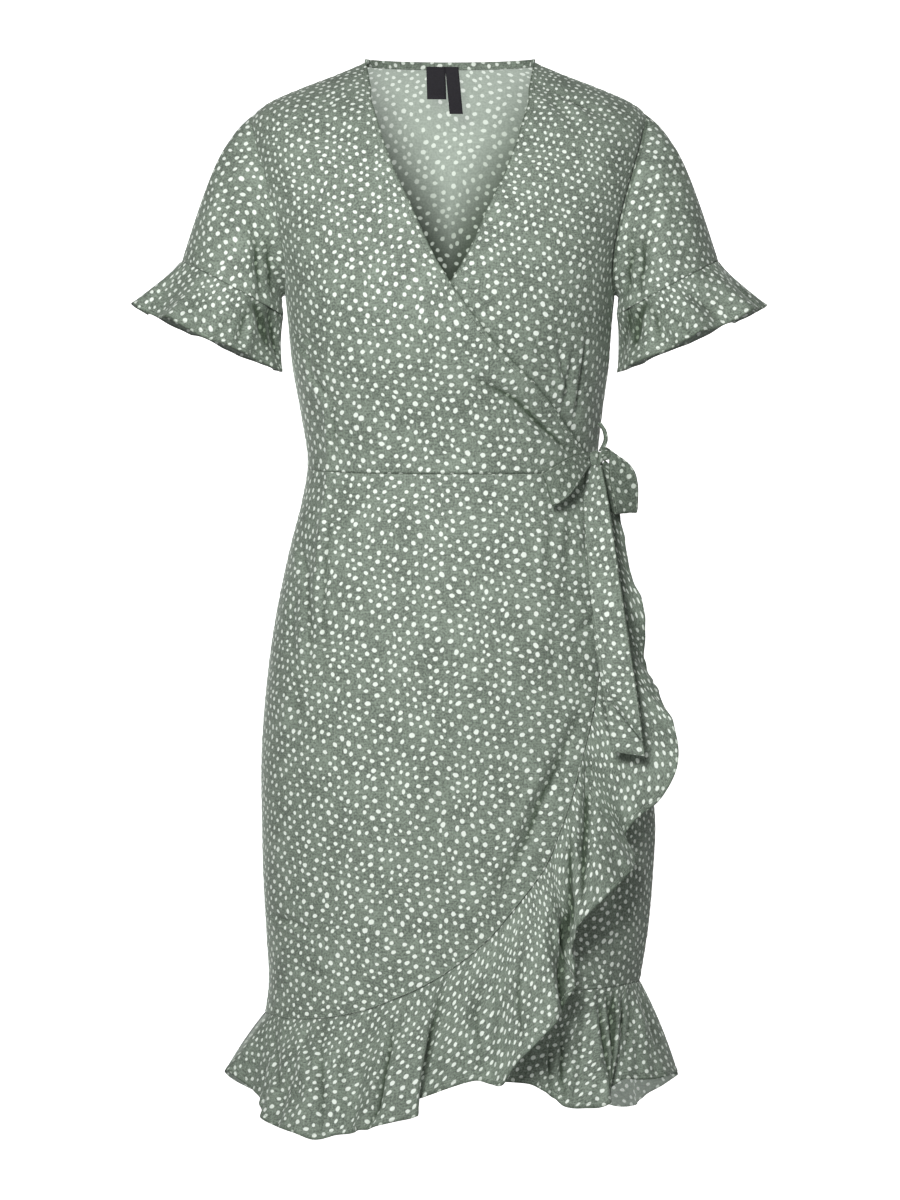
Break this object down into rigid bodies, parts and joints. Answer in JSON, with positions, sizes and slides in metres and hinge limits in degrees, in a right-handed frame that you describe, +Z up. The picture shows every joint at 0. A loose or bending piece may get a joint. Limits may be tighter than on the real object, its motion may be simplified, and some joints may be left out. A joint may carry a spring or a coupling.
{
  "type": "wrap dress",
  "caption": "Knee-length wrap dress with a V neck, short flounced sleeves, a curved ruffle down the wrap edge and hem, and a bow at the side waist, filled out as if worn.",
  "frame": {"origin": "midway between the two points where the shoulder seams meet the neck, where the wearer holds the dress up", "axes": "+Z up, the front of the dress faces -Y, the wearer's left and the bow are at +X"},
  "size_m": [0.5846, 0.3089, 0.9812],
  "materials": {
    "cloth": "light woven cloth with a soft sheen, muted grey-green with small off-white dots",
    "label": "bare black woven tape"
  },
  "bodies": {
    "root": {"bodice_front_over": "cloth", "bodice_front_under": "cloth", "bodice_back": "cloth", "neck_binding_back": "cloth", "sleeve_left": "cloth", "sleeve_right": "cloth", "sleeve_flounce_left": "cloth", "sleeve_flounce_right": "cloth", "skirt_front_over": "cloth", "skirt_front_under": "cloth", "skirt_back": "cloth", "ruffle_over": "cloth", "ruffle_under": "cloth", "ruffle_back": "cloth", "tie_knot": "cloth", "tie_loop_front": "cloth", "tie_loop_side": "cloth", "tie_tail_lower": "cloth", "tie_tail_upper": "cloth", "tie_strap": "cloth", "care_label": "label", "neck_label": "label"}
  },
  "joints": []
}
